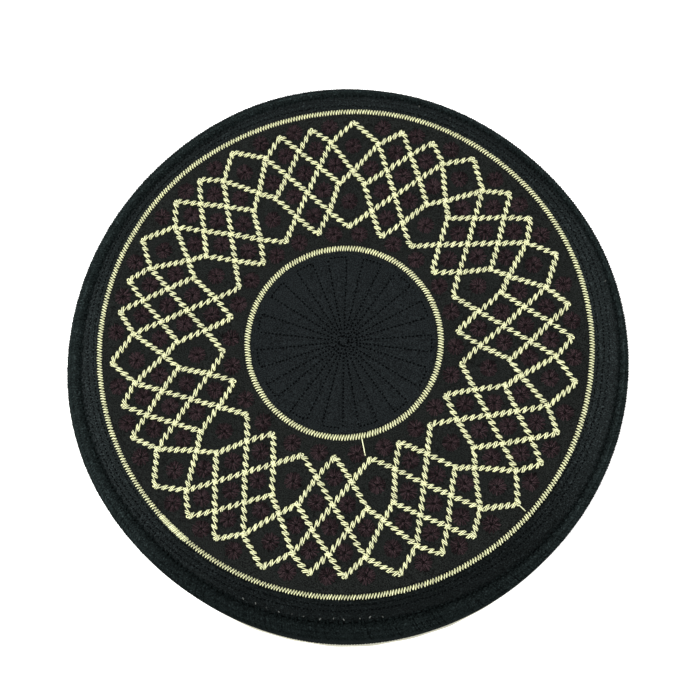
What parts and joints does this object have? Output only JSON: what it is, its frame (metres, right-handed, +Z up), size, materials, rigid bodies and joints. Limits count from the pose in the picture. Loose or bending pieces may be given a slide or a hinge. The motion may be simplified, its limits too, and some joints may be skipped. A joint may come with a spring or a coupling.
{
  "type": "kufi cap",
  "caption": "Round flat-topped kufi cap of black cloth with a rolled rim, quilted side band and pale lining, its top embroidered with gold rings, a gold lattice and dark rosettes.",
  "frame": {"origin": "middle of the cap's box on the surface that it stands on", "axes": "+Z up through the top panel, -Y towards the viewer of the picture, +X to the viewer's right"},
  "size_m": [0.1938, 0.193, 0.0752],
  "materials": {
    "top_cloth": "matt black twill",
    "band_cloth": "matt black quilted cloth",
    "lining_cloth": "matt cream cotton",
    "gold_thread": "silky pale gold embroidery thread",
    "maroon_thread": "silky dark maroon embroidery thread",
    "black_thread": "black sewing thread"
  },
  "bodies": {
    "root": {"top_panel": "top_cloth", "side_band": "band_cloth", "lining": "lining_cloth"}
  },
  "joints": []
}
